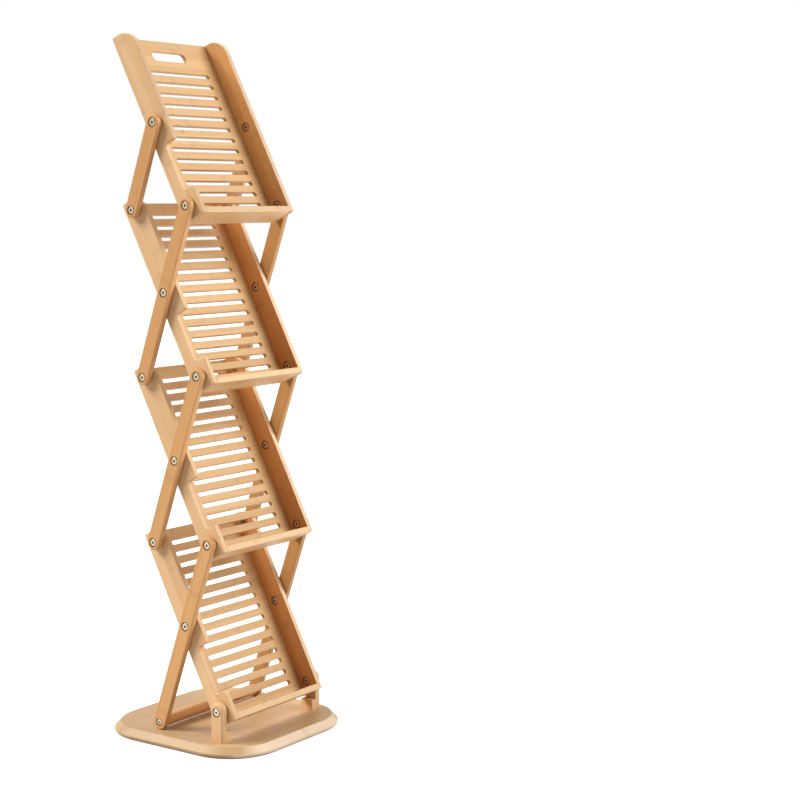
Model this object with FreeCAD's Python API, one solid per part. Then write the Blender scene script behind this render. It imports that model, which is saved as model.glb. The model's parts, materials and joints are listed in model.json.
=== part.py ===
import FreeCAD, Part
import math
import os

# A folding magazine rack of bamboo: four slotted trays and their scissor arms, standing open on a base board.
# Millimetres and degrees. +Z is up, the trays face -Y, and the origin is under the middle of the base board.

# Scissor: every tray and every full arm has its pivots one spacing apart
tray_count = 4
pivot_spacing = 155.0
tray_lean = 27.2
arm_lean = 19.4

# Base board, and the place of the lowest pivots on it
base_width = 329.0
base_depth = 339.0
base_thickness = 19.0
base_corner_radius = 92.0
base_bevel = 11.0
base_bevel_round = 2.0
base_bottom_round = 6.0
pivot_height = 53.0
pivot_forward = 92.5

# Posts
post_thickness = 14.0
post_depth = 26.0
post_cap_rise = 3.0
post_foot_width = 11.0
post_foot_gap = 0.8
post_outer_round = 4.5
post_inner_round = 1.5

# Tray rails, measured from the line of the pivots and from the end pivots
pocket_width = 220.0
rail_thickness = 10.0
rail_behind_pivot = 24.0
rail_before_pivot = 22.0
rail_tail = 23.0
rail_head = 21.5
top_rail_head = 17.5
rail_corner_radius = 34.0
rail_edge_round = 1.2

# Finger notch in the front edge of each left rail, measured from the front pivot
notch_start = 27.0
notch_end = 115.0
notch_depth = 24.0
notch_floor_radius = 10.0
notch_lip_radius = 4.0

# Slotted panel and end ledge
panel_thickness = 7.0
panel_lift = 1.0
panel_edge_round = 1.5
ledge_thickness = 11.0
ledge_front_round = 2.0
ledge_back_round = 1.2
slot_pitch = 21.2
slot_width = 8.0
slot_side_margin = 23.0
slot_edge_round = 0.8
lowest_slot_rise = 20.5
top_slot_margin = 24.0

# Hand slot of the top tray
handle_length = 84.0
handle_width = 18.5
handle_drop = 30.0
handle_web = 17.75
handle_edge_round = 2.0

# Scissor arms and the foot rod
arm_width = 26.0
arm_thickness = 11.0
arm_edge_round = 1.5
rod_diameter = 20.0
foot_gap = 0.3

# Pivot bolts, sleeve nuts and washers
layer_gap = 1.5
washer_slack = 0.1
washer_diameter = 17.0
bolt_diameter = 6.0
bolt_end_gap = 1.0
sleeve_diameter = 9.0
sleeve_floor = 2.0
head_diameter = 12.5
head_thickness = 2.0
head_edge_round = 0.6
head_ring_gap = 1.5
head_sink = 0.3
socket_width = 4.0
socket_depth = 1.4
turn_clearance = 0.3
fixed_clearance = 0.1

# Screws: two in the ends of the foot rod, and two under each post
rod_screw_diameter = 5.0
rod_screw_length = 45.0
rod_screw_head = 10.0
rod_screw_ring_gap = 1.25
rod_screw_socket = 3.2
post_screw_diameter = 4.5
post_screw_length = 48.0
post_screw_head = 9.0
post_screw_cone = 2.6
post_screw_sink = 0.5
post_screw_spacing = 12.0

# Places worked out from the driving dimensions
rail_inner = pocket_width / 2
rail_outer = rail_inner + rail_thickness
arm_inner = rail_outer + layer_gap
arm_outer = arm_inner + arm_thickness
post_outer = arm_inner + post_thickness
tray_turn = 90.0 - tray_lean
arm_turn = 90.0 + arm_lean
panel_back = panel_lift - rail_behind_pivot
panel_front = panel_back + panel_thickness
ledge_face = ledge_thickness - rail_tail
sink_depth = head_thickness + head_sink
head_bore = head_diameter + 2 * head_ring_gap
arm_radius = arm_width / 2
along_x = FreeCAD.Vector(1, 0, 0)
along_y = FreeCAD.Vector(0, 1, 0)
along_z = FreeCAD.Vector(0, 0, 1)
origin = FreeCAD.Vector(0, 0, 0)

# Fixed numbers of the drawing itself
same_place = 1e-4
hexagon_sides = 6


def sine(angle):
    return math.sin(math.radians(angle))


def cosine(angle):
    return math.cos(math.radians(angle))


def point(x, y, z):
    return FreeCAD.Vector(x, y, z)


# Pivot places in the open rack, as vectors in the plane of symmetry

def front_pivot(tray):
    """Front pivot of a tray, counted from 0 at the bottom."""
    steps = tray * pivot_spacing
    y = -pivot_forward + steps * (sine(tray_lean) - sine(arm_lean))
    z = base_thickness + pivot_height + steps * (cosine(tray_lean) + cosine(arm_lean))
    return point(0, y, z)


def middle_pivot(tray):
    """Pivot halfway along a tray, where its pair of arms crosses it."""
    rise = point(0, pivot_spacing * sine(tray_lean), pivot_spacing * cosine(tray_lean))
    return front_pivot(tray) + rise


def foot_reach():
    """Length of the lowest arms below their middle pivot, so that their round ends stand on the base board."""
    drop = middle_pivot(0).z - base_thickness - foot_gap - arm_radius
    return drop / cosine(arm_lean)


# Shape helpers

def block(low, high):
    size = high - low
    return Part.makeBox(size.x, size.y, size.z, low)


def rod_along_x(start, end, diameter, y=0.0):
    return Part.makeCylinder(diameter / 2, end - start, point(start, y, 0), along_x)


def stadium(start, end, side, width, depth):
    """Bar with round ends between two centres, pushed along the vector depth."""
    radius = width / 2
    ahead = (end - start).normalize()
    low_start = start - side * radius
    low_end = end - side * radius
    high_start = start + side * radius
    high_end = end + side * radius
    edges = [
        Part.LineSegment(low_start, low_end).toShape(),
        Part.Arc(low_end, end + ahead * radius, high_end).toShape(),
        Part.LineSegment(high_end, high_start).toShape(),
        Part.Arc(high_start, start - ahead * radius, low_start).toShape(),
    ]
    return Part.Face(Part.Wire(edges)).extrude(depth)


def hexagon_along_x(start, depth, width):
    step_angle = 360 / hexagon_sides
    corner = width / 2 / cosine(step_angle / 2)
    turns = [step_angle * step for step in range(hexagon_sides + 1)]
    outline = Part.makePolygon([point(start, corner * cosine(turn), corner * sine(turn)) for turn in turns])
    return Part.Face(outline).extrude(point(depth, 0, 0))


def near(first, second):
    return abs(first - second) < same_place


def edges_at_x(shape, x):
    return [edge for edge in shape.Edges if near(edge.BoundBox.XMin, x) and near(edge.BoundBox.XMax, x)]


def edges_at_z(shape, z):
    return [edge for edge in shape.Edges if near(edge.BoundBox.ZMin, z) and near(edge.BoundBox.ZMax, z)]


def edges_at_yz(shape, y, z):
    """Edges that run along X at one place."""
    box = [(edge, edge.BoundBox) for edge in shape.Edges]
    at_y = [(edge, b) for edge, b in box if near(b.YMin, y) and near(b.YMax, y)]
    return [edge for edge, b in at_y if near(b.ZMin, z) and near(b.ZMax, z)]


def left_of(shape):
    """Mirror image of a right-hand piece."""
    return shape.mirror(origin, along_x)


def placed(shape, spot, turn=0.0):
    """Copy of a piece turned about X and moved to a spot."""
    copy = shape.copy()
    copy.Placement = FreeCAD.Placement(spot, FreeCAD.Rotation(along_x, turn)).multiply(copy.Placement)
    return copy


def on_tray(shape, tray):
    return placed(shape, front_pivot(tray), tray_turn)


def save(name, shape):
    shape.exportStep("parts/" + name + ".step")


# Trays, drawn with Y along the tray from its front pivot and Z square to it

def tray_pivots(tray):
    """Places of a tray's pivots along it: the top tray has no arms at its far end."""
    count = 2 if tray == tray_count - 1 else 3
    return [step * pivot_spacing for step in range(count)]


def pivot_holes(places):
    """Cutters for the sleeve nuts in a right rail."""
    cutters = []
    for place in places:
        cutters.append(rod_along_x(rail_inner, rail_outer, sleeve_diameter + 2 * fixed_clearance, place))
        cutters.append(rod_along_x(rail_inner, rail_inner + sink_depth, head_bore, place))
    return cutters


def tray_end(is_top):
    """Place of a tray's far end along it."""
    return 2 * pivot_spacing + (top_rail_head if is_top else rail_head)


def rail(places, end, notched):
    low = point(rail_inner, -rail_tail, -rail_behind_pivot)
    high = point(rail_outer, end, rail_before_pivot)
    shape = block(low, high)
    shape = shape.makeFillet(rail_corner_radius, edges_at_yz(shape, end, rail_before_pivot))
    if notched:
        floor = rail_before_pivot - notch_depth
        gap_low = point(rail_inner, notch_start, floor)
        shape = shape.cut(block(gap_low, point(rail_outer, notch_end, rail_before_pivot)))
        for place in (notch_start, notch_end):
            shape = shape.makeFillet(notch_floor_radius, edges_at_yz(shape, place, floor))
            shape = shape.makeFillet(notch_lip_radius, edges_at_yz(shape, place, rail_before_pivot))
    shape = shape.makeFillet(rail_edge_round, edges_at_x(shape, rail_inner) + edges_at_x(shape, rail_outer))
    return shape.cut(pivot_holes(places))


def slot_places(is_top):
    """Centres of a panel's slots along the tray. The top tray has its hand slot above them."""
    lowest = ledge_face + lowest_slot_rise
    highest = tray_end(is_top) - top_slot_margin
    if is_top:
        highest = tray_end(is_top) - handle_drop - handle_width / 2 - handle_web - slot_width / 2
    count = int((highest - lowest) / slot_pitch) + 1
    return [lowest + slot_pitch * step for step in range(count)]


def panel_opening(place, length, width):
    start = point(-(length - width) / 2, place, panel_back)
    end = point((length - width) / 2, place, panel_back)
    return stadium(start, end, along_y, width, point(0, 0, panel_thickness))


def rounded_openings(shape, cutters, radius):
    """Cut openings through a panel and round their edges on both faces."""
    kept = [edge.CenterOfMass for edge in shape.Edges]
    shape = shape.cut(cutters)
    faces = edges_at_z(shape, panel_back) + edges_at_z(shape, panel_front)
    fresh = [edge for edge in faces if all((edge.CenterOfMass - old).Length > radius for old in kept)]
    return shape.makeFillet(radius, fresh)


def panel(is_top):
    end = tray_end(is_top)
    shape = block(point(-rail_inner, ledge_face, panel_back), point(rail_inner, end, panel_front))
    ends = edges_at_yz(shape, end, panel_back) + edges_at_yz(shape, end, panel_front)
    shape = shape.makeFillet(panel_edge_round, ends)
    slot_length = pocket_width - 2 * slot_side_margin
    slots = [panel_opening(place, slot_length, slot_width) for place in slot_places(is_top)]
    shape = rounded_openings(shape, slots, slot_edge_round)
    if is_top:
        handle = panel_opening(end - handle_drop, handle_length, handle_width)
        shape = rounded_openings(shape, [handle], handle_edge_round)
    return shape


def ledge():
    low = point(-rail_inner, -rail_tail, -rail_behind_pivot)
    high = point(rail_inner, ledge_face, rail_before_pivot)
    shape = block(low, high)
    front = edges_at_yz(shape, -rail_tail, rail_before_pivot)
    front += edges_at_yz(shape, ledge_face, rail_before_pivot)
    shape = shape.makeFillet(ledge_front_round, front)
    return shape.makeFillet(ledge_back_round, edges_at_yz(shape, -rail_tail, -rail_behind_pivot))


# Fasteners of a right-hand pivot, drawn on the X axis

def sleeve_nut(outer):
    """Sleeve through the rail, the washer and the piece whose outer face is given."""
    seat = rail_inner + sink_depth
    head = rod_along_x(rail_inner + head_sink, seat, head_diameter)
    head = head.makeFillet(head_edge_round, edges_at_x(head, rail_inner + head_sink))
    shape = head.fuse(rod_along_x(seat, outer - sink_depth, sleeve_diameter)).removeSplitter()
    bore = rod_along_x(seat + sleeve_floor, outer - sink_depth, bolt_diameter + 2 * fixed_clearance)
    return shape.cut([bore, hexagon_along_x(rail_inner + head_sink, socket_depth, socket_width)])


def pivot_bolt(outer):
    face = outer - head_sink
    head = rod_along_x(outer - sink_depth, face, head_diameter)
    head = head.makeFillet(head_edge_round, edges_at_x(head, face))
    tip = rail_inner + sink_depth + sleeve_floor + bolt_end_gap
    shape = head.fuse(rod_along_x(tip, outer - sink_depth, bolt_diameter)).removeSplitter()
    return shape.cut(hexagon_along_x(face - socket_depth, socket_depth, socket_width))


def washer():
    end = arm_inner - washer_slack
    ring = rod_along_x(rail_outer, end, washer_diameter)
    return ring.cut(rod_along_x(rail_outer, end, sleeve_diameter + 2 * turn_clearance))


def at_pivots(tray, make):
    """Fastener of one kind at each pivot of a tray, on both sides."""
    pieces = []
    for step, place in enumerate(tray_pivots(tray)):
        outer = post_outer if tray == 0 and step == 0 else arm_outer
        right = placed(make(outer), point(0, place, 0))
        pieces += [on_tray(right, tray), on_tray(left_of(right), tray)]
    return Part.makeCompound(pieces)


# Arms, drawn with Y along the arm from its middle pivot to its upper end

def turning_hole(place, outer):
    """Cutters that let a piece turn on a sleeve and take the bolt's head in its outer face."""
    floor = outer - sink_depth - turn_clearance
    return [
        rod_along_x(arm_inner, outer, sleeve_diameter + 2 * turn_clearance, place),
        rod_along_x(floor, outer, head_bore, place),
    ]


def foot_hole(place):
    """Cutters for the screw that holds an arm on the foot rod."""
    return [
        rod_along_x(arm_inner, arm_outer, rod_screw_diameter + 2 * fixed_clearance, place),
        rod_along_x(arm_outer - sink_depth, arm_outer, rod_screw_head + 2 * rod_screw_ring_gap, place),
    ]


def arm(number):
    reach_down = foot_reach() if number == 0 else pivot_spacing
    reach_up = 0.0 if number == tray_count - 1 else pivot_spacing
    low = point(arm_inner, -reach_down, 0)
    high = point(arm_inner, reach_up, 0)
    shape = stadium(low, high, along_z, arm_width, point(arm_thickness, 0, 0))
    shape = shape.makeFillet(arm_edge_round, edges_at_x(shape, arm_inner) + edges_at_x(shape, arm_outer))
    cutters = foot_hole(-reach_down) if number == 0 else turning_hole(-reach_down, arm_outer)
    for place in sorted({0.0, reach_up}):
        cutters = cutters + turning_hole(place, arm_outer)
    return shape.cut(cutters)


# Foot rod and its screws, drawn on the X axis

def foot_rod():
    shape = rod_along_x(-arm_inner, arm_inner, rod_diameter)
    depth = rod_screw_length - (arm_thickness - sink_depth)
    pilot = rod_along_x(arm_inner - depth, arm_inner, rod_screw_diameter + 2 * fixed_clearance)
    return shape.cut([pilot, left_of(pilot)])


def rod_screw():
    face = arm_outer - head_sink
    head = rod_along_x(arm_outer - sink_depth, face, rod_screw_head)
    head = head.makeFillet(head_edge_round, edges_at_x(head, face))
    tip = arm_outer - sink_depth - rod_screw_length
    shape = head.fuse(rod_along_x(tip, arm_outer - sink_depth, rod_screw_diameter)).removeSplitter()
    return shape.cut(hexagon_along_x(face - socket_depth, socket_depth, rod_screw_socket))


# Base board, posts and the screws between them

def post_screw_spots():
    """Places of the right post's screws on the underside of the base board."""
    x = (arm_inner + post_outer) / 2
    return [point(x, -pivot_forward + side * post_screw_spacing / 2, post_screw_sink) for side in (-1, 1)]


def screw_form(slack):
    """Countersunk screw standing on its head at the origin, grown by a slack for its hole."""
    neck = post_screw_diameter / 2 + slack
    cone = Part.makeCone(post_screw_head / 2 + slack, neck, post_screw_cone, origin, along_z)
    return cone.fuse(Part.makeCylinder(neck, post_screw_length, origin, along_z)).removeSplitter()


def post_screws():
    right = [placed(screw_form(0.0), spot) for spot in post_screw_spots()]
    return Part.makeCompound(right + [left_of(screw) for screw in right])


def screw_holes():
    """Cutters for the right post's screws, with the sink below each head."""
    cutters = []
    for spot in post_screw_spots():
        cutters.append(placed(screw_form(fixed_clearance), spot))
        mouth = post_screw_head / 2 + fixed_clearance
        cutters.append(Part.makeCylinder(mouth, post_screw_sink, point(spot.x, spot.y, 0), along_z))
    return cutters


def base_board():
    half = point(base_width / 2, base_depth / 2, 0)
    shape = block(origin - half, half + point(0, 0, base_thickness))
    corners = [edge for edge in shape.Edges if edge.BoundBox.ZLength > base_thickness / 2]
    shape = shape.makeFillet(base_corner_radius, corners)
    shape = shape.makeChamfer(base_bevel, edges_at_z(shape, base_thickness))
    rims = edges_at_z(shape, base_thickness) + edges_at_z(shape, base_thickness - base_bevel)
    shape = shape.makeFillet(base_bevel_round, rims)
    shape = shape.makeFillet(base_bottom_round, edges_at_z(shape, 0))
    right = screw_holes()
    return shape.cut(right + [left_of(cutter) for cutter in right])


def right_post():
    """Upright with a round top, drawn about the lowest pivot. Its foot is thicker, below the turning rail."""
    half = post_depth / 2
    corners = [point(arm_inner, -half, -pivot_height), point(arm_inner, -half, post_cap_rise),
               point(arm_inner, half, post_cap_rise), point(arm_inner, half, -pivot_height)]
    crown = point(arm_inner, 0, post_cap_rise + half)
    edges = [
        Part.LineSegment(corners[0], corners[1]).toShape(),
        Part.Arc(corners[1], crown, corners[2]).toShape(),
        Part.LineSegment(corners[2], corners[3]).toShape(),
        Part.LineSegment(corners[3], corners[0]).toShape(),
    ]
    shape = Part.Face(Part.Wire(edges)).extrude(point(post_thickness, 0, 0))
    foot_inner = arm_inner - post_foot_width
    foot_top = -math.hypot(rail_tail, rail_behind_pivot) - post_foot_gap
    foot = block(point(foot_inner, -half, -pivot_height), point(arm_inner, half, foot_top))
    shape = shape.fuse(foot).removeSplitter()
    rounds = ((post_outer, post_outer_round), (arm_inner, post_inner_round), (foot_inner, post_inner_round))
    for x, radius in rounds:
        rising = [edge for edge in edges_at_x(shape, x) if edge.BoundBox.ZLength > radius]
        shape = shape.makeFillet(radius, rising)
    shape = placed(shape.cut(turning_hole(0.0, post_outer)), front_pivot(0))
    return shape.cut(screw_holes())


# Write one file per piece

os.makedirs("parts", exist_ok=True)
save("base_board", base_board())
save("right_post", right_post())
save("left_post", left_of(right_post()))
save("post_screws", post_screws())

for tray in range(tray_count):
    name = "tray_" + str(tray + 1)
    top = tray == tray_count - 1
    places = tray_pivots(tray)
    save(name + "_right_rail", on_tray(rail(places, tray_end(top), False), tray))
    save(name + "_left_rail", on_tray(left_of(rail(places, tray_end(top), True)), tray))
    save(name + "_panel", on_tray(panel(top), tray))
    save(name + "_ledge", on_tray(ledge(), tray))
    save(name + "_sleeve_nuts", at_pivots(tray, sleeve_nut))
    save(name + "_pivot_bolts", at_pivots(tray, pivot_bolt))
    save(name + "_washers", at_pivots(tray, lambda outer: washer()))

for number in range(tray_count):
    name = "arm_" + str(number + 1)
    spot = middle_pivot(number)
    save(name + "_right", placed(arm(number), spot, arm_turn))
    save(name + "_left", placed(left_of(arm(number)), spot, arm_turn))

foot = middle_pivot(0) + point(0, foot_reach() * sine(arm_lean), -foot_reach() * cosine(arm_lean))
save("foot_rod", placed(foot_rod(), foot))
save("rod_screws", placed(Part.makeCompound([rod_screw(), left_of(rod_screw())]), foot, arm_turn))
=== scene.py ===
import json
import math

import bpy
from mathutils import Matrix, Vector


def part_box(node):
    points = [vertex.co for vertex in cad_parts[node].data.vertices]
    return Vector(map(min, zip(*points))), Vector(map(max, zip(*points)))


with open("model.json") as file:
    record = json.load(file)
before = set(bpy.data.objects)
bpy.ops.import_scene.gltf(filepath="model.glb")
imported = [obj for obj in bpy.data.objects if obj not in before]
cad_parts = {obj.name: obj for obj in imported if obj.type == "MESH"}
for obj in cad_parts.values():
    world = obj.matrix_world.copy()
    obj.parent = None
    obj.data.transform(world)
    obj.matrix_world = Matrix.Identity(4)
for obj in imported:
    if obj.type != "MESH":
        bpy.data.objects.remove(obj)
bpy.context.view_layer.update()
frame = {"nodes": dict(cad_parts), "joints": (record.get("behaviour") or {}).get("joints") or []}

# Camera at the photograph's viewing angle, with its place in metres and its angles in degrees
camera_place = (-2.3452, -2.0247, 0.9362)
camera_yaw = 54.91
camera_pitch = 6.49
camera_lens = 79.83
camera_sensor = 36.0
camera_reach = 100.0

# Studio light
white = (1.0, 1.0, 1.0, 1.0)
ambient_strength = 0.18
side_sun_from = (-1.9, 2.3, 2.6)
side_sun_strength = 3.85
side_sun_angle = 30.0
front_box_place = (1.1, -2.1, 2.1)
front_box_aim = (0.0, 0.0, 0.8)
front_box_size = 2.0
front_box_power = 80.0
floor_size = 30.0
floor_grey = 0.6
floor_glow = 0.85

# Lean of the trays and of the arms from upright, in degrees, as in the model
tray_lean = 27.2
arm_lean = 19.4

# Pivots: rows of front, middle and back pivots go up the tower, one step to a tray
joint_places = {joint["name"]: Vector(joint["pos_m"]) for joint in frame["joints"]}
front_pivot = joint_places["fold"]
middle_pivot = joint_places["arm_1_turn"]
back_pivot = 2 * middle_pivot - front_pivot
foot_place = sum(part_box("rod_screws"), Vector()) / 2
tray_step = joint_places["tray_2_turn"] - front_pivot
top_level = 3

# Bores round the heads and the sleeve nuts, where shade is painted: the lowest place, the highest level and
# the radius of each row
bore_radius = 0.0078
foot_bore_radius = 0.0063
bore_rows = (
    (front_pivot, top_level, bore_radius),
    (middle_pivot, top_level, bore_radius),
    (back_pivot, top_level - 1, bore_radius),
    (foot_place, 0, foot_bore_radius),
)
bore_lip = 0.0008
# Share of painted shade in the bores
bore_painted_shade = 0.7

# Planes of the faces of the heads and of the sleeve nuts, as distances from the middle of the rack
arm_head_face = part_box("tray_2_pivot_bolts")[1].x
post_head_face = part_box("tray_1_pivot_bolts")[1].x
nut_face = 0.1103
face_depth = 0.0006
face_fade = 0.0009

# Strips, cane nodes and glue lines of the bamboo, in metres
strip_width = 0.019
layer_thickness = 0.006
base_layer = 0.05
node_spacing = 0.23
node_core = 0.00064
node_line = 0.0016
node_shade = 0.012
node_wave = 0.004
seam_core = 0.00011
seam_edge = 0.00044

# Third coordinate of the cells that have their own random numbers
cell_third = 0.5

# Noises: scale along the grain, scale across it, and detail
fibre_grain = (14.0, 620.0, 3.0)
streak_grain = (3.0, 110.0, 2.0)
fleck_grain = (70.0, 1500.0, 1.0)
wave_grain = (2.0, 90.0, 1.0)
cloud_grain = (900.0, 900.0, 3.0)
patch_grain = (160.0, 160.0, 2.0)
nylon_grain = (1200.0, 1200.0, 2.0)

# Limits between which looks fade: the noise of the flecks, then parts of a face's normal
fleck_limits = (0.28, 0.4)
end_limits = (0.6, 0.95)
front_limits = (-0.7, -0.5)
down_limits = (-0.7, 0.2)

# Shares that take the bamboo from its pale tone to its deep one
fibre_share = 0.35
streak_share = 0.5
strip_variety = 0.45
base_variety = 0.2
pale_share = -0.15
# Share of the painted light that faces looking to the front get
painted_light_cover = 0.8

# Shares by which marks darken the bamboo
line_dark = 0.06
shade_dark = 0.07
seam_dark = 0.18
fleck_dark = 0.10
end_dark = 0.10
# Painted shade on the faces of the base that look down, by the floor
base_painted_low_shade = 0.45

# Surface of the bamboo
bamboo_rough = 0.36
fibre_rough = 0.14
end_rough = 0.12
bamboo_specular = 0.3
coat_weight = 0.05
coat_rough = 0.3
line_height = 0.5
bamboo_bump = 0.25
bamboo_bump_depth = 0.0004

# Surface of the steel and of the nylon
# Shares of the steel's tone: added on the faces, and kept on the sides and in the sockets, where shade is
# painted
face_kept = 0.9
shaded_side_kept = 0.1
steel_rough = 0.18
cloud_rough = 0.2
steel_bump = 0.12
nylon_rough = 0.45
nylon_grain_rough = 0.2
nylon_subsurface = 0.05
nylon_bump = 0.1
fine_bump_depth = 0.0002

# Pale and deep tone of each kind of piece
panel_tones = ((0.73, 0.48, 0.237, 1.0), (0.59, 0.333, 0.137, 1.0))
rail_tones = ((0.78, 0.51, 0.27, 1.0), (0.64, 0.365, 0.16, 1.0))
arm_tones = ((0.71, 0.382, 0.152, 1.0), (0.55, 0.26, 0.085, 1.0))
# Painted shade: the right arms take a deeper copy of the arm tones, for the shade on their inner faces
right_arm_painted_shade_tones = ((0.54, 0.283, 0.10, 1.0), (0.418, 0.192, 0.056, 1.0))
# Painted shade: the right rails take deeper copies of the rail tones for the shade inside the trays, the
# top tray's a lighter copy as less shade falls on it
right_rail_painted_shade_tones = ((0.59, 0.256, 0.075, 1.0), (0.453, 0.164, 0.04, 1.0))
top_right_rail_painted_shade_tones = ((0.69, 0.352, 0.126, 1.0), (0.53, 0.226, 0.068, 1.0))
ledge_tones = ((0.79, 0.50, 0.24, 1.0), (0.64, 0.35, 0.14, 1.0))
base_tones = ((0.55, 0.362, 0.187, 1.0), (0.435, 0.25, 0.106, 1.0))
bolt_tones = ((0.60, 0.49, 0.34, 1.0), (0.45, 0.36, 0.25, 1.0))
nut_tones = ((0.50, 0.33, 0.22, 1.0), (0.36, 0.23, 0.15, 1.0))
nylon_tones = ((0.72, 0.69, 0.62, 1.0), (0.64, 0.61, 0.54, 1.0))

# Painted light: paler tone of the faces that look to the front, where the front box lights them
ledge_painted_light_tone = (0.80, 0.545, 0.305, 1.0)
left_rail_painted_light_tone = (0.74, 0.49, 0.26, 1.0)
right_rail_painted_light_tone = (0.82, 0.60, 0.38, 1.0)
base_painted_light_tone = (0.88, 0.67, 0.47, 1.0)


class Shader:
    """Short ways to add nodes to one material."""

    def __init__(self, name):
        self.material = bpy.data.materials.new(name)
        self.material.use_nodes = True
        self.tree = self.material.node_tree
        self.surface = self.tree.nodes["Principled BSDF"]
        places = self.tree.nodes.new("ShaderNodeTexCoord")
        self.place = places.outputs["Object"]
        self.normal = places.outputs["Normal"]

    def feed(self, source, socket):
        """Link a socket to another, or set it to a constant."""
        if isinstance(source, bpy.types.NodeSocket):
            self.tree.links.new(source, socket)
        else:
            socket.default_value = source

    def set(self, name, source):
        """Feed one input of the surface."""
        self.feed(source, self.surface.inputs[name])

    def math(self, operation, *values):
        node = self.tree.nodes.new("ShaderNodeMath")
        node.operation = operation
        for source, socket in zip(values, node.inputs):
            self.feed(source, socket)
        return node.outputs[0]

    def weighted(self, start, *pairs):
        """A start value plus values, each times its weight."""
        total = start
        for value, weight in pairs:
            total = self.math("MULTIPLY_ADD", value, weight, total)
        return total

    def vector(self, x, y, z):
        node = self.tree.nodes.new("ShaderNodeCombineXYZ")
        for source, socket in zip((x, y, z), node.inputs):
            self.feed(source, socket)
        return node.outputs[0]

    def split(self, vector):
        node = self.tree.nodes.new("ShaderNodeSeparateXYZ")
        self.feed(vector, node.inputs[0])
        return node.outputs

    def turned(self, vector, lean):
        """The parts of a vector after a turn about x."""
        node = self.tree.nodes.new("ShaderNodeMapping")
        node.vector_type = "POINT"
        self.feed(vector, node.inputs["Vector"])
        node.inputs["Rotation"].default_value = (math.radians(lean), 0.0, 0.0)
        return self.split(node.outputs[0])

    def random(self, vector):
        """Three random numbers that are the same all over one cell."""
        node = self.tree.nodes.new("ShaderNodeTexWhiteNoise")
        node.noise_dimensions = "3D"
        self.feed(vector, node.inputs["Vector"])
        return self.split(node.outputs["Color"])

    def noise(self, parts, grain):
        """Noise at a place given by its parts along, across and through the grain."""
        along_scale, across_scale, detail = grain
        scales = (along_scale, across_scale, across_scale)
        scaled = [self.math("MULTIPLY", part, scale) for part, scale in zip(parts, scales)]
        node = self.tree.nodes.new("ShaderNodeTexNoise")
        self.feed(self.vector(*scaled), node.inputs["Vector"])
        node.inputs["Scale"].default_value = 1.0
        node.inputs["Detail"].default_value = detail
        return node.outputs[0]

    def length(self, vector):
        node = self.tree.nodes.new("ShaderNodeVectorMath")
        node.operation = "LENGTH"
        self.feed(vector, node.inputs[0])
        return node.outputs["Value"]

    def fade(self, value, start, end):
        """1 below start, falling smoothly to 0 at end."""
        node = self.tree.nodes.new("ShaderNodeMapRange")
        node.interpolation_type = "SMOOTHSTEP"
        self.feed(value, node.inputs["Value"])
        node.inputs["From Min"].default_value = start
        node.inputs["From Max"].default_value = end
        node.inputs["To Min"].default_value = 1.0
        node.inputs["To Max"].default_value = 0.0
        return node.outputs[0]

    def mix(self, factor, first, second, blend="MIX"):
        node = self.tree.nodes.new("ShaderNodeMix")
        node.data_type = "RGBA"
        node.blend_type = blend
        self.feed(factor, node.inputs["Factor"])
        colours = [socket for socket in node.inputs if socket.type == "RGBA"]
        self.feed(first, colours[0])
        self.feed(second, colours[1])
        return [socket for socket in node.outputs if socket.type == "RGBA"][0]

    def dimmed(self, colour, kept):
        """A colour times the share of it that is kept."""
        node = self.tree.nodes.new("ShaderNodeCombineColor")
        for socket in node.inputs[:3]:
            self.feed(kept, socket)
        return self.mix(1.0, colour, node.outputs[0], "MULTIPLY")

    def bump(self, height, strength, distance):
        node = self.tree.nodes.new("ShaderNodeBump")
        self.feed(height, node.inputs["Height"])
        node.inputs["Strength"].default_value = strength
        node.inputs["Distance"].default_value = distance
        self.set("Normal", node.outputs[0])


def bores(shader):
    """Mask of painted shade: 1 in the bores of the pivots, fading out at their lips."""
    place = shader.split(shader.place)
    shade = 0.0
    for first, last_level, radius in bore_rows:
        forward = shader.math("SUBTRACT", place[1], first.y)
        rise = shader.math("SUBTRACT", place[2], first.z)
        level = shader.math("ROUND", shader.math("DIVIDE", rise, tray_step.z))
        level = shader.math("MINIMUM", shader.math("MAXIMUM", level, 0.0), last_level)
        forward = shader.math("SUBTRACT", forward, shader.math("MULTIPLY", level, tray_step.y))
        rise = shader.math("SUBTRACT", rise, shader.math("MULTIPLY", level, tray_step.z))
        distance = shader.length(shader.vector(0.0, forward, rise))
        shade = shader.math("MAXIMUM", shade, shader.fade(distance, radius, radius + bore_lip))
    return shade


def cane_nodes(shader, parts, chance):
    """Nodes of the cane: a thin line, and a soft shade round it."""
    waved = shader.math("MULTIPLY", shader.noise(parts, wave_grain), node_wave)
    steps = shader.math("DIVIDE", shader.math("ADD", parts[0], waved), node_spacing)
    step_part = shader.math("FRACT", shader.math("ADD", steps, chance))
    from_node = shader.math("ABSOLUTE", shader.math("SUBTRACT", step_part, 0.5))
    distance = shader.math("MULTIPLY", from_node, node_spacing)
    return shader.fade(distance, node_core, node_line), shader.fade(distance, 0.0, node_shade)


def glue_lines(shader, strip_place):
    """1 on the lines between the strips, fading out beside them."""
    strip_part = shader.math("FRACT", strip_place)
    from_edge = shader.math("MINIMUM", strip_part, shader.math("SUBTRACT", 1.0, strip_part))
    return shader.fade(shader.math("MULTIPLY", from_edge, strip_width), seam_core, seam_edge)


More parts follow.
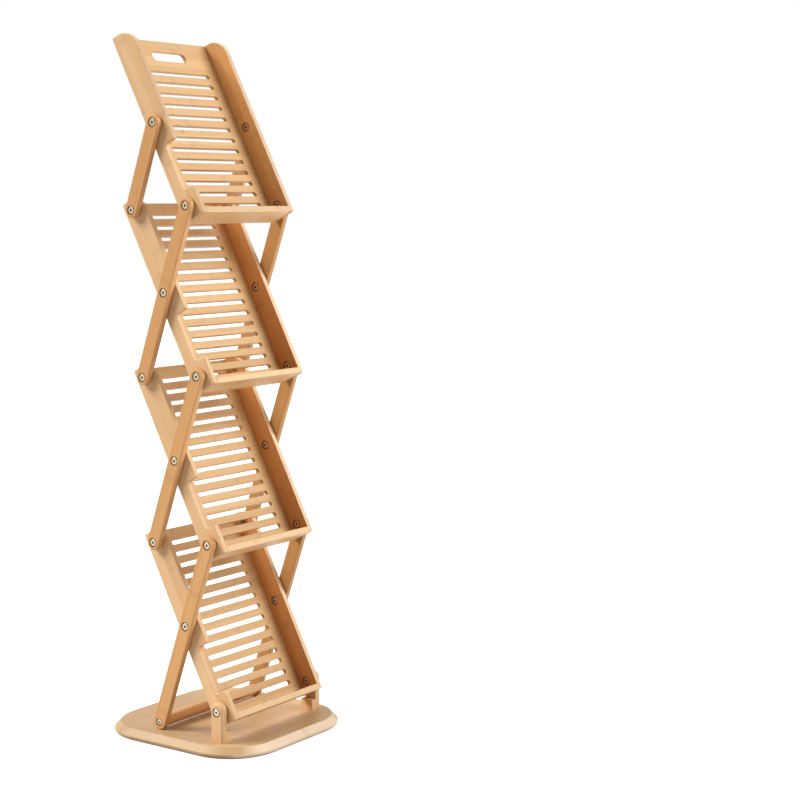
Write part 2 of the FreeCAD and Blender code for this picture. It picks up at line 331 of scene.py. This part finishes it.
def bamboo(name, tones, axes, lean=0.0, front=None,
           layer=layer_thickness, variety=strip_variety, painted_low_shade=0.0):
    """Laminated bamboo. Axes gives the letters along, across and through the grain, turned by the lean.
    Front is a paler tone painted as light on faces that look to the front, layer the thickness of one layer
    of strips, variety the contrast between strips, and the last argument the share of painted shade on
    faces that look down."""
    shader = Shader(name)
    spot = shader.turned(shader.place, lean)
    facing = shader.turned(shader.normal, lean)
    order = ["xyz".index(letter) for letter in axes]
    along, across, through = [spot[index] for index in order]

    # Strips side by side, each with its own tone and its own start along the cane
    strip_place = shader.math("DIVIDE", across, strip_width)
    layer_place = shader.math("DIVIDE", through, layer)
    cell = [shader.math("FLOOR", place) for place in (strip_place, layer_place)]
    chances = shader.random(shader.vector(*cell, cell_third))
    parts = (shader.math("ADD", along, chances[0]), across, through)

    # Marks along the grain, across it and at the ends
    fibre = shader.noise(parts, fibre_grain)
    streak = shader.noise(parts, streak_grain)
    fleck = shader.fade(shader.noise(parts, fleck_grain), *fleck_limits)
    line, shade = cane_nodes(shader, parts, chances[1])
    seam = glue_lines(shader, strip_place)
    side = shader.fade(shader.math("ABSOLUTE", facing[order[0]]), *end_limits)
    end_grain = shader.math("SUBTRACT", 1.0, side)
    side_seam = shader.math("MULTIPLY", seam, side)
    # Painted shade: faces that look down are darker
    painted_low_shade_mask = shader.fade(facing[2], *down_limits)

    depth = shader.weighted(pale_share, (streak, streak_share), (fibre, fibre_share), (chances[2], variety))
    colour = shader.mix(depth, *tones)
    # Painted light: faces that look to the front turn towards the paler front tone
    if front:
        painted_light_share = shader.math("MULTIPLY", shader.fade(facing[1], *front_limits), painted_light_cover)
        colour = shader.mix(painted_light_share, colour, front)
    marks = (
        (shade, shade_dark),
        (line, line_dark),
        (side_seam, seam_dark),
        (fleck, fleck_dark),
        (end_grain, end_dark),
        (painted_low_shade_mask, painted_low_shade),
    )
    # Painted shade in the bores round the heads and the sleeve nuts, taken together with the marks
    bore_shade = shader.math("MULTIPLY", bores(shader), bore_painted_shade)
    dark = shader.math("MAXIMUM", shader.weighted(0.0, *marks), bore_shade)
    shader.set("Base Color", shader.dimmed(colour, shader.math("SUBTRACT", 1.0, dark)))

    shader.set("Roughness", shader.weighted(bamboo_rough, (fibre, fibre_rough), (end_grain, end_rough)))
    shader.set("Specular IOR Level", bamboo_specular)
    shader.set("Coat Weight", coat_weight)
    shader.set("Coat Roughness", coat_rough)
    height = shader.math("SUBTRACT", shader.weighted(fibre, (line, line_height)), seam)
    shader.bump(height, bamboo_bump, bamboo_bump_depth)
    return shader.material


def steel(name, tones, faces):
    """Plated steel, with painted shade in the sockets and on the sides, which lie off the planes of the
    faces.
    """
    shader = Shader(name)
    parts = shader.split(shader.place)
    cloud = shader.noise(parts, cloud_grain)
    patch = shader.noise(parts, patch_grain)
    outward = shader.math("ABSOLUTE", parts[0])
    on_face = 0.0
    for face in faces:
        depth = shader.math("ABSOLUTE", shader.math("SUBTRACT", outward, face))
        on_face = shader.math("MAXIMUM", on_face, shader.fade(depth, face_depth, face_fade))
    # Painted shade: off the planes of the faces, on the sides and in the sockets, the steel keeps only a
    # small share of its tone
    kept = shader.weighted(shaded_side_kept, (on_face, face_kept))
    shader.set("Base Color", shader.dimmed(shader.mix(patch, *tones), kept))
    shader.set("Metallic", 1.0)
    shader.set("Roughness", shader.weighted(steel_rough, (cloud, cloud_rough)))
    shader.bump(cloud, steel_bump, fine_bump_depth)
    return shader.material


def nylon(name, tones):
    """Matt nylon with a fine grain."""
    shader = Shader(name)
    grain = shader.noise(shader.split(shader.place), nylon_grain)
    shader.set("Base Color", shader.mix(grain, *tones))
    shader.set("Roughness", shader.weighted(nylon_rough, (grain, nylon_grain_rough)))
    shader.set("Subsurface Weight", nylon_subsurface)
    shader.bump(grain, nylon_bump, fine_bump_depth)
    return shader.material


def dress():
    """Give every node of the frame the look of its kind: the first whose ending the node's name has."""
    bolt_steel = steel("bolt_steel_look", bolt_tones, (arm_head_face, post_head_face))
    nut_steel = steel("nut_steel_look", nut_tones, (nut_face,))
    base_bamboo = bamboo("base_bamboo_look", base_tones, "xyz", front=base_painted_light_tone, layer=base_layer,
                         variety=base_variety, painted_low_shade=base_painted_low_shade)
    # Painted shade: deeper tones for the right rails, lighter on the top tray
    top_tray_shaded_rail_bamboo = bamboo("top_right_rail_painted_shade_look", top_right_rail_painted_shade_tones, "zyx", tray_lean,
                                   right_rail_painted_light_tone)
    shaded_right_rail_bamboo = bamboo("right_rail_painted_shade_look", right_rail_painted_shade_tones, "zyx", tray_lean,
                               right_rail_painted_light_tone)
    left_rail_bamboo = bamboo("left_rail_bamboo_look", rail_tones, "zyx", tray_lean, left_rail_painted_light_tone)
    looks = (
        ("panel", bamboo("panel_bamboo_look", panel_tones, "xzy", tray_lean)),
        ("ledge", bamboo("ledge_bamboo_look", ledge_tones, "xyz", tray_lean, ledge_painted_light_tone)),
        ("left_rail", left_rail_bamboo),
        ("tray_4_right_rail", top_tray_shaded_rail_bamboo),
        ("right_rail", shaded_right_rail_bamboo),
        ("_left", bamboo("left_arm_bamboo_look", arm_tones, "zyx", -arm_lean)),
        # Painted shade: the right arms have their deeper, shaded tones
        ("_right", bamboo("right_arm_painted_shade_look", right_arm_painted_shade_tones, "zyx", -arm_lean)),
        ("rod", bamboo("rod_bamboo_look", arm_tones, "xzy")),
        ("board", base_bamboo),
        ("post", bamboo("post_bamboo_look", rail_tones, "zyx")),
        ("bolts", bolt_steel),
        ("screws", bolt_steel),
        ("nuts", nut_steel),
        ("washers", nylon("washer_nylon_look", nylon_tones)),
    )
    for name, node in frame["nodes"].items():
        look = next(look for ending, look in looks if name.endswith(ending))
        for slot in node.material_slots:
            slot.material = look


def add_object(name, data):
    """Put a new object in the scene."""
    thing = bpy.data.objects.new(name, data)
    bpy.context.scene.collection.objects.link(thing)
    return thing


def make_camera():
    """Camera turned right by the yaw and down by the pitch."""
    data = bpy.data.cameras.new("camera")
    data.lens = camera_lens
    data.sensor_width = camera_sensor
    data.clip_end = camera_reach
    camera = add_object("camera", data)
    camera.location = camera_place
    camera.rotation_euler = (math.radians(90 - camera_pitch), 0.0, math.radians(-camera_yaw))
    bpy.context.scene.camera = camera


def seen_directly(tree):
    """1 for rays from the camera, in reflections and through glass, and 0 for other light."""
    path = tree.nodes.new("ShaderNodeLightPath")
    total = path.outputs["Is Camera Ray"]
    for kind in ("Is Glossy Ray", "Is Transmission Ray"):
        larger = tree.nodes.new("ShaderNodeMath")
        larger.operation = "MAXIMUM"
        tree.links.new(total, larger.inputs[0])
        tree.links.new(path.outputs[kind], larger.inputs[1])
        total = larger.outputs[0]
    return total


def make_world():
    """White where it is seen, and a softer white as light."""
    world = bpy.data.worlds.new("studio")
    bpy.context.scene.world = world
    world.use_nodes = True
    tree = world.node_tree
    strength = tree.nodes.new("ShaderNodeMapRange")
    strength.inputs["To Min"].default_value = ambient_strength
    tree.links.new(seen_directly(tree), strength.inputs["Value"])
    background = tree.nodes["Background"]
    background.inputs["Color"].default_value = white
    tree.links.new(strength.outputs[0], background.inputs["Strength"])


def make_floor():
    """Pale floor that shows as white and keeps the shadow."""
    half = floor_size / 2
    corners = [(-half, -half, 0.0), (half, -half, 0.0), (half, half, 0.0), (-half, half, 0.0)]
    mesh = bpy.data.meshes.new("floor")
    mesh.from_pydata(corners, [], [(0, 1, 2, 3)])
    floor = add_object("floor", mesh)
    material = bpy.data.materials.new("floor_white")
    material.use_nodes = True
    tree = material.node_tree
    surface = tree.nodes["Principled BSDF"]
    surface.inputs["Base Color"].default_value = (floor_grey, floor_grey, floor_grey, 1.0)
    surface.inputs["Roughness"].default_value = 1.0
    surface.inputs["Specular IOR Level"].default_value = 0.0
    surface.inputs["Emission Color"].default_value = white
    glow = tree.nodes.new("ShaderNodeMath")
    glow.operation = "MULTIPLY"
    glow.inputs[1].default_value = floor_glow
    tree.links.new(seen_directly(tree), glow.inputs[0])
    tree.links.new(glow.outputs[0], surface.inputs["Emission Strength"])
    mesh.materials.append(material)


def facing_back(vector):
    """Turn of a light whose back looks along the vector."""
    return vector.to_track_quat("Z", "Y").to_euler()


def make_sun():
    """Wide soft sun from behind, on the left."""
    data = bpy.data.lights.new("side_sun", "SUN")
    data.energy = side_sun_strength
    data.angle = math.radians(side_sun_angle)
    sun = add_object("side_sun", data)
    sun.rotation_euler = facing_back(Vector(side_sun_from))


def make_soft_box():
    """Round soft box in front, on the right."""
    data = bpy.data.lights.new("front_box", "AREA")
    data.shape = "DISK"
    data.size = front_box_size
    data.energy = front_box_power
    box = add_object("front_box", data)
    box.location = front_box_place
    box.rotation_euler = facing_back(Vector(front_box_place) - Vector(front_box_aim))


make_camera()
make_world()
make_floor()
make_sun()
make_soft_box()
dress()
bpy.context.scene.view_settings.view_transform = "Standard"
